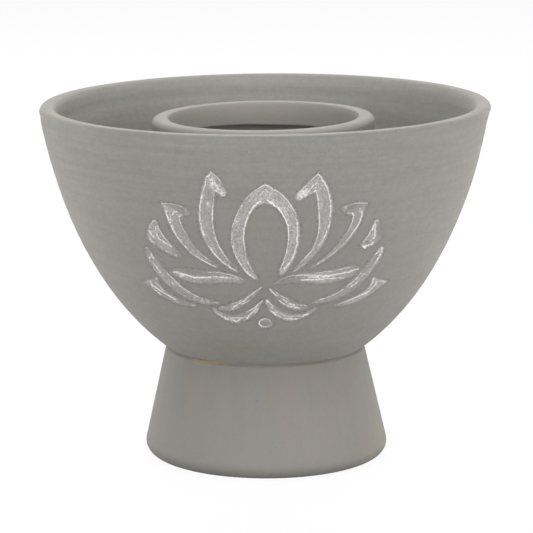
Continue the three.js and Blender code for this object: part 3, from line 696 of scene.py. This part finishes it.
bowlAngles = np.concatenate([np.linspace(-half, half, bowl["carvedColumns"]),
                             np.linspace(half, 2 * np.pi - half, bowl["plainColumns"] + 2)[1:-1]])
bowlGrid = frontToRest(frontProfile, restProfile, bowlAngles)
wallRows = slice(len(underside), len(underside) + len(heights))
wallGrid = bowlGrid[wallRows]
drift, driftLength = bowl["rippleDrift"]
ripple = 0.5 + 0.5 * np.sin(2 * np.pi * heights / bowl["rippleLength"] + drift * np.sin(heights / driftLength))
even, uneven, phase = bowl["rippleSides"]
sunk = bowl["ripple"] * ripple[:, None] * (even + uneven * np.cos(bowlAngles + phase))
front = np.abs(bowlAngles) <= half
cut, *lines = carvedInto(wallGrid[:, front][..., [0, 2]].reshape(-1, 2)).reshape(3, len(heights), -1)
sunk[:, front] += cut
bowlMarks = np.zeros((2, *bowlGrid.shape[:2]))
bowlMarks[:, wallRows, front] = lines
bowlGrid[wallRows] -= sunk[..., None] * turn(np.stack([wallOutR, wallOutZ], -1), bowlAngles)
bowlPoles = [[0, 0, undersideLow], [0, 0, undersideLow + bowl["floorThickness"]]]
bowlPiece = ringPiece("thrownBowl", handMade(bowlGrid), bowlPoles, dict(zip(("cutShade", "wiped"), bowlMarks)))
dress(bowlPiece, "base", ["bowl"], clayFinish("bowlClay", bowl["finish"]))

# slip: one closed bed in each cut, its top a film over the groove and its underside bedded in the clay
slipMaterial = slipFinish("rubbedSlip", lotus["finish"])


def bedOf(flat, groove):
    # the top of a bed, a film over the groove, and its underside, sunk in the clay
    return onWall(flat, groove - lotus["film"]), onWall(flat, groove + lotus["bedding"])


def washOver(stroke, along, across, width, order):
    # thickness of the white: the body, a ridge along each line, and a soft mound or bare place at each spot
    # the ridges wander and come and go from knot to knot, by a hand that the stroke's number fixes
    hand = np.random.default_rng(order)
    knots = np.linspace(0, 1, lotus["lineKnots"])
    wash = stroke["body"] + 0 * along * across
    for drawn in stroke["lines"]:
        strength, *path = np.array(drawn) / 100
        at, place = np.reshape(path, (-1, 2)).T
        ends = ease((along - at[0]) / lotus["lineFade"] + 0.5) * ease((at[-1] - along) / lotus["lineFade"] + 0.5)
        wobble = np.interp(along, knots, hand.normal(0, lotus["lineWobble"], len(knots)))
        breaks = 1 + lotus["lineBreaks"] * np.interp(along, knots, hand.uniform(-1, 1, len(knots)))
        gap = (across - np.interp(along, at, place)) * width + wobble
        wash = wash + lotus["lineStrength"] * strength * breaks * ends * bell(gap, lotus["lineWidth"])
    for spot in stroke["spots"]:
        amount, at, place, reach, spread = np.array(spot) / 100
        wash = wash + amount * bell(along - at, reach) * bell(across - place, spread)
    return np.maximum(wash, 0)


def strokeBed(name, stroke, order):
    # stations along the stroke by shares across it, carried round: over the top and back along the underside
    outer, inner = rails[name]
    across = 0.5 - 0.5 * np.cos(np.linspace(0, np.pi, lotus["across"]))[None, :]
    flat = outer[:, None] + (inner - outer)[:, None] * across[..., None]
    rows, columns = flat.shape[:2]
    groove = grooveDepth(distanceInside(flat.reshape(-1, 2), outlines[name])).reshape(rows, columns)
    top, underneath = bedOf(flat, groove)
    loop = np.concatenate([top, underneath[:, ::-1]], 1)
    width = np.linalg.norm(inner - outer, axis=1)[:, None]
    along = np.linspace(0, 1, rows)[:, None]
    run = order * lotus["pathLength"] + travelled((outer + inner) / 2)[:, None] * mm
    marks = {"wash": washOver(stroke, along, across, width, order), "along": run + 0 * across,
             "across": across * width * mm}
    marks = {mark: np.concatenate([values, values[:, ::-1]], 1).ravel() for mark, values in marks.items()}
    column = np.arange(columns - 1)
    cap = np.stack([column, column + 1, 2 * columns - 2 - column, 2 * columns - 1 - column], -1)
    faces = [ringFaces(rows, 2 * columns), cap[:, ::-1], cap + (rows - 1) * 2 * columns]
    return makePiece(name + "Slip", handMade(loop).reshape(-1, 3), faces, marks)


def seedBed():
    # rings from the middle of the seed out to its edge on top, and back to the middle underneath
    flat = seedRing(np.linspace(lotus["seedMiddle"], 1, lotus["seedRings"]), seedTurns)
    inside = distanceInside(flat.reshape(-1, 2), outlines["seed"]).reshape(flat.shape[:2])
    top, underneath = bedOf(flat, seedDepth(inside))
    loop = np.concatenate([top, underneath[::-1]])
    poles = np.concatenate(bedOf(onSwayed([lotus["seedCentre"]]), 0))
    away = seedTurns - lotus["seedBright"]
    even, once, twice = lotus["seedWaves"]
    strength = np.maximum(even + once * np.cos(away) + twice * np.cos(2 * away), lotus["seedLeast"])
    ring = lotus["seedBody"] + strength * bell(inside - lotus["seedLineAt"], lotus["seedLineWidth"])
    marks = {"wash": ring, "along": 0 * inside + seedTurns * lotus["seedPath"] * mm, "across": inside * mm}
    marks = {mark: np.concatenate([values, values[::-1]]) for mark, values in marks.items()}
    return ringPiece("seedSlip", handMade(loop), handMade(poles), marks)


dress(seedBed(), "base", ["seed_inlay"], slipMaterial)
for order, (name, stroke) in enumerate(strokes.items()):
    dress(strokeBed(name, stroke, order), "base", [name + "_inlay"], slipMaterial)
print("lotus:", len(strokes) + 1, "beds of slip")

# foot: a flared ring, outside from the table up to the crease, under the bowl and down its inner face, in mm
foot = {
    "radius": 40.8, "wall": 8, "outerRound": 4, "innerRound": 1.5, "topRound": 0.5, "jointGap": 0.6, "lean": 0.45,
    "columns": 160, "outerSteps": 13, "faceSteps": 40, "topSteps": 5, "jointSteps": 300, "jointEvery": 10,
    "insideSteps": 20, "innerSteps": 7,
    "finish": {
        "grey": tone(154, 152, 146.5), "tan": tone(164, 153, 141),
        "streakScale": (240, 240, 14), "warmScale": (34, 34, 26), "pitScale": 190,
        "clouds": 0.06, "streaks": 0.07, "fine": 0.07, "grain": 0.1, "warm": 0.45, "pits": 0.3,
        "streakHeight": 0.3, "bump": 0.3,
        "bareRise": (0.0359, 0.0372, 0.0006), "bareLeft": 0.45, "bareRest": 0.08, "bareClay": tone(178, 163, 140),
    },
}
outerRound, innerRound, topRound, gap = (
    foot[size] for size in ("outerRound", "innerRound", "topRound", "jointGap"))
footCentre = np.array([foot["radius"] - outerRound, outerRound])
toNeck = neck - footCentre
footSlope = np.arctan2(toNeck[1], toNeck[0]) - np.arccos(outerRound / np.linalg.norm(toNeck))
footOut = np.array([np.cos(footSlope), np.sin(footSlope)])
footUp = np.array([-footOut[1], footOut[0]])
footFace = footCentre + footOut * outerRound
footTop = footFace + footUp * (toNeck @ footUp - gap - topRound)
jointCurve, jointNormal = bezier(undersideHandles, np.linspace(1, 0, foot["jointSteps"]))
jointCurve = jointCurve + jointNormal * gap
behind = (footFace - jointCurve) @ footOut
jointRows = jointCurve[(behind > topRound) & (behind < foot["wall"])][::foot["jointEvery"]]
innerReach = outerRound - foot["wall"] + innerRound + (outerRound - innerRound) * footOut[1]
innerCentre = (footCentre[0] + innerReach / footOut[0], innerRound)
innerFoot = arc(innerCentre, innerRound, footSlope + np.pi, 1.5 * np.pi, foot["innerSteps"])
footProfile = np.concatenate([
    arc(footCentre, outerRound, -np.pi / 2, footSlope, foot["outerSteps"]),
    line(footFace, footTop, foot["faceSteps"])[1:],
    arc(footTop - footOut * topRound, topRound, footSlope, footSlope + np.pi / 2, foot["topSteps"])[1:],
    jointRows, line(jointRows[-1], innerFoot[0], foot["insideSteps"])[1:-1], innerFoot])
footGrid = turn(footProfile, fullTurn(foot["columns"]))
footGrid[..., 0] += foot["lean"] * (1 - footGrid[..., 2] / neck[1])
dress(ringPiece("flaredFoot", footGrid), "base", ["foot"], clayFinish("footClay", foot["finish"]))

# luting slip: a thin layer between bowl and foot, ending in a smoothed bead in the crease, in mm
luting = {
    "layerFrom": 0.72, "layerTo": 0.99, "layerRows": 14, "sink": 0.15, "columns": 220,
    "bead": 0.5, "beadWaves": [(3, 0.06, 0.4), (7, 0.05, 2.0), (13, 0.03, 1.2)], "beadAt": (-0.2, -0.4),
    "beadTurn": np.radians((75, -65)), "beadRows": 9,
    "finish": {
        "grey": tone(138, 135, 128), "tan": tone(170, 154, 128),
        "streakScale": (60, 60, 300), "warmScale": (60, 60, 60), "pitScale": 260,
        "clouds": 0.1, "streaks": 0.1, "fine": 0.1, "grain": 0.12, "warm": 0.35, "pits": 0.3,
        "streakHeight": 0.4, "bump": 0.4,
        "bareRise": (0.03, 0.04, 0.001), "bareLeft": 0.7, "bareRest": 0.1, "bareClay": tone(178, 160, 130),
    },
}
layerShares = np.linspace(luting["layerFrom"], luting["layerTo"], luting["layerRows"])
layerCurve, layerNormal = bezier(undersideHandles, layerShares)
layerTop = layerCurve - layerNormal * luting["sink"]
layerFoot = (layerCurve + layerNormal * (foot["jointGap"] + luting["sink"]))[::-1]
lutingAngles = fullTurn(luting["columns"])
beadSize = luting["bead"] + sway(lutingAngles, luting["beadWaves"])
beadTurn = np.linspace(*luting["beadTurn"], luting["beadRows"])
beadR = neck[0] + luting["beadAt"][0] + np.outer(np.cos(beadTurn), beadSize)
beadZ = neck[1] + luting["beadAt"][1] + np.outer(np.sin(beadTurn), beadSize)
beadGrid = np.stack([beadR * np.sin(lutingAngles), -beadR * np.cos(lutingAngles), beadZ], -1)
lutingGrid = np.concatenate([turn(layerTop, lutingAngles), beadGrid, turn(layerFoot, lutingAngles)])
lutingPiece = ringPiece("lutingBead", lutingGrid)
dress(lutingPiece, "base", ["luting_slip"], clayFinish("jointClay", luting["finish"]))

# inner cup: base, wall and rolled rim, then a folded band inside with a hand-wiped lower edge, wall and floor, in mm; a
# lip is its reach and drop, and the steps count the points of each stretch of the outline in turn
cup = {
    "radius": 37.1, "base": 46.04, "rimHeight": 115.2, "rimThickness": 6, "bandHeight": 7.9, "bandRise": 0.6,
    "shoulderRound": 2, "frontLip": (2.4, 2.4), "restLip": (1.1, 5.5), "bandRound": 0.6, "wall": 4.4, "floor": 5,
    "baseRound": 6, "cornerRound": 4, "middle": 4, "columns": 180,
    "steps": {"base": 6, "baseRound": 10, "side": 24, "shoulder": 11, "top": 4, "lip": 12, "band": 9,
              "bandRound": 7, "fold": 5, "inside": 20, "corner": 9, "floor": 6},
    "edgeWaves": [(1, 0.2, 0.6), (3, 0.15, 2.1), (5, 0.12, 0.3), (11, 0.05, 1.7)], "edgeReach": 1.8,
    "rimTilt": (0.0135, 0.0037), "tiltFrom": 92, "lean": 0.7,
    "finish": {
        "grey": tone(153, 150.5, 145), "tan": tone(162, 152, 141),
        "streakScale": (24, 24, 560), "streakRise": (0.085, 0.112), "warmScale": (40, 40, 60), "pitScale": 210,
        "clouds": 0.1, "streaks": 0.1, "fine": 0.08, "grain": 0.1, "warm": 0.4, "pits": 0.15,
    },
}
cupInside = cup["radius"] - cup["wall"]
bandFace = cup["radius"] - cup["rimThickness"]
bandFoot = cup["rimHeight"] - cup["bandHeight"]
cupFloor = cup["base"] + cup["floor"]
outerBase = np.array([cup["radius"] - cup["baseRound"], cup["base"] + cup["baseRound"]])
shoulder = np.array([cup["radius"], cup["rimHeight"]]) - cup["shoulderRound"]
bandEdge = np.array([bandFace + cup["bandRound"], bandFoot + cup["bandRound"]])
floorEdge = np.array([cupInside - cup["cornerRound"], cupFloor + cup["cornerRound"]])
bandRoot = np.array([cupInside, bandFoot + cup["bandRise"]])


def cupOutline(lipReach, lipDrop):
    # from the middle of the base up the outside, over the rim, down a lip that is a quarter of an ellipse and inside
    steps = cup["steps"]
    lip = np.array([bandFace + lipReach, cup["rimHeight"] - lipDrop])
    stretches = [
        line((cup["middle"], cup["base"]), (outerBase[0], cup["base"]), steps["base"]),
        arc(outerBase, cup["baseRound"], -np.pi / 2, 0, steps["baseRound"]),
        line((cup["radius"], outerBase[1]), (cup["radius"], shoulder[1]), steps["side"]),
        arc(shoulder, cup["shoulderRound"], 0, np.pi / 2, steps["shoulder"]),
        line((shoulder[0], cup["rimHeight"]), (lip[0], cup["rimHeight"]), steps["top"]),
        lipArc(lip, lipReach, lipDrop, steps["lip"]),
        line((bandFace, lip[1]), (bandFace, bandEdge[1]), steps["band"]),
        arc(bandEdge, cup["bandRound"], np.pi, 1.5 * np.pi, steps["bandRound"]),
        line((bandEdge[0], bandFoot), bandRoot, steps["fold"]),
        line(bandRoot, (cupInside, floorEdge[1]), steps["inside"]),
        arc(floorEdge, cup["cornerRound"], 0, -np.pi / 2, steps["corner"]),
        line((floorEdge[0], cupFloor), (cup["middle"], cupFloor), steps["floor"])]
    return np.concatenate([stretches[0], *(stretch[1:] for stretch in stretches[1:])])


frontOutline, restOutline = (cupOutline(*cup[lip]) for lip in ("frontLip", "restLip"))
cupAngles = fullTurn(cup["columns"])
cupGrid = frontToRest(frontOutline, restOutline, cupAngles)
inner = restOutline[:, 0] < cup["radius"] - cup["wall"] / 2
nearEdge = np.where(inner, bell(restOutline[:, 1] - bandFoot, cup["edgeReach"]), 0)
cupGrid[..., 2] += nearEdge[:, None] * sway(cupAngles, cup["edgeWaves"])
cupGrid[..., 0] -= cup["lean"] * ease((cupGrid[..., 2] - cup["base"]) / (cup["rimHeight"] - cup["base"]))
cupGrid = tilted(cupGrid, cup["rimTilt"], cup["radius"] + cup["lean"], cup["tiltFrom"], cup["rimHeight"])
cupPiece = ringPiece("innerCup", cupGrid, [[0, 0, cup["base"]], [0, 0, cupFloor]])
dress(cupPiece, "cup", ["inner_cup"], clayFinish("cupClay", cup["finish"]))

# studio: pale floor, white surround and soft lamps, in metres; a lamp with two powers has a twin on the left, and the
# left one's power comes first
studio = {
    "floorSize": 8, "floorTone": (0.5, 0.5, 0.5, 1), "floorWhite": 0.94, "surround": 0.09, "white": (1, 1, 1, 1),
    "lamps": {
        "front": {"at": (0, -1.2, 1.1), "size": (1.0, 0.8), "powers": [2.8]},
        "nearTop": {"at": (0, -0.25, 0.6), "size": (0.4, 0.3), "powers": [1.9]},
        "back": {"at": (0, 1.0, 1.0), "size": (1.2, 0.6), "powers": [14]},
        "Top": {"at": (0.8, -0.1, 0.9), "size": (0.6, 0.6), "powers": [1.2, 1]},
        "Front": {"at": (1.1, -1.0, 0.35), "size": (0.6, 0.4), "powers": [5.3, 7]},
        "Rear": {"at": (0.836, 0.996, 0.13), "size": (0.5, 0.22), "powers": [3, 2.2]},
        "Floor": {"at": (0.32, 0.08, 0.4), "aim": (0.32, 0.08, 0), "spread": 60, "size": (0.24, 0.5), "powers": [2, 2]},
    },
    "aim": (0, 0, 0.07), "spread": 180,
    "camera": {"at": (0, -0.90926, 0.24276), "pitch": 11.16, "lens": 186.1, "shift": 0.0024, "clip": (0.05, 30)},
}


def seenDirectly(sheet):
    # 1 for rays from the camera, mirrors and glass, 0 for light that falls on the pot
    rays = [sheet.node("ShaderNodeLightPath", out=way)
            for way in ("Is Camera Ray", "Is Glossy Ray", "Is Transmission Ray")]
    return sheet.node("ShaderNodeClamp", {"Value": rays[0] + rays[1] + rays[2]})


world = bpy.data.worlds.new("whiteSurround")
scene.world = world
sheet = Sheet(world)
glow = studio["surround"] + (1 - studio["surround"]) * seenDirectly(sheet)
background = sheet.node("ShaderNodeBackground", {"Color": studio["white"], "Strength": glow})
sheet.node("ShaderNodeOutputWorld", {"Surface": background})

edge = studio["floorSize"] / 2
floorMesh = bpy.data.meshes.new("paleFloor")
floorMesh.from_pydata([(-edge, -edge, 0), (edge, -edge, 0), (edge, edge, 0), (-edge, edge, 0)], [], [(0, 1, 2, 3)])
floor = bpy.data.objects.new("paleFloor", floorMesh)
scene.collection.objects.link(floor)
floorPaint = bpy.data.materials.new("palePaper")
sheet = Sheet(floorPaint)
seen = seenDirectly(sheet)
paper = sheet.node("ShaderNodeBsdfDiffuse", {"Color": sheet.blend(seen, studio["floorTone"], studio["white"])})
white = sheet.node("ShaderNodeEmission", {"Color": studio["white"], "Strength": 1})
shown = sheet.node("ShaderNodeMixShader", {0: seen * studio["floorWhite"], 1: paper, 2: white})
sheet.node("ShaderNodeOutputMaterial", {"Surface": shown})
floorMesh.materials.append(floorPaint)

for name, lamp in studio["lamps"].items():
    paired = len(lamp["powers"]) == 2
    for word, side, power in zip(("left", "right") if paired else ("",), (-1, 1) if paired else (1,), lamp["powers"]):
        place, aim = (np.array(spot) * (side, 1, 1) for spot in (lamp["at"], lamp.get("aim", studio["aim"])))
        away = aim - place
        light = bpy.data.lights.new(word + name, "AREA")
        light.shape = "RECTANGLE"
        light.size, light.size_y = lamp["size"]
        light.energy = power
        light.spread = np.radians(lamp.get("spread", studio["spread"]))
        holder = bpy.data.objects.new(word + name, light)
        holder.location = place
        holder.rotation_euler = (np.arccos(-away[2] / np.linalg.norm(away)), 0, np.arctan2(-away[0], away[1]))
        scene.collection.objects.link(holder)

shot = studio["camera"]
camera = bpy.data.cameras.new("camera")
camera.lens = shot["lens"]
camera.shift_x = shot["shift"]
camera.clip_start, camera.clip_end = shot["clip"]
viewer = bpy.data.objects.new("camera", camera)
viewer.location = shot["at"]
viewer.rotation_euler = (np.radians(90 - shot["pitch"]), 0, 0)
scene.collection.objects.link(viewer)
scene.camera = viewer
print("studio ready")

bpy.context.view_layer.update()
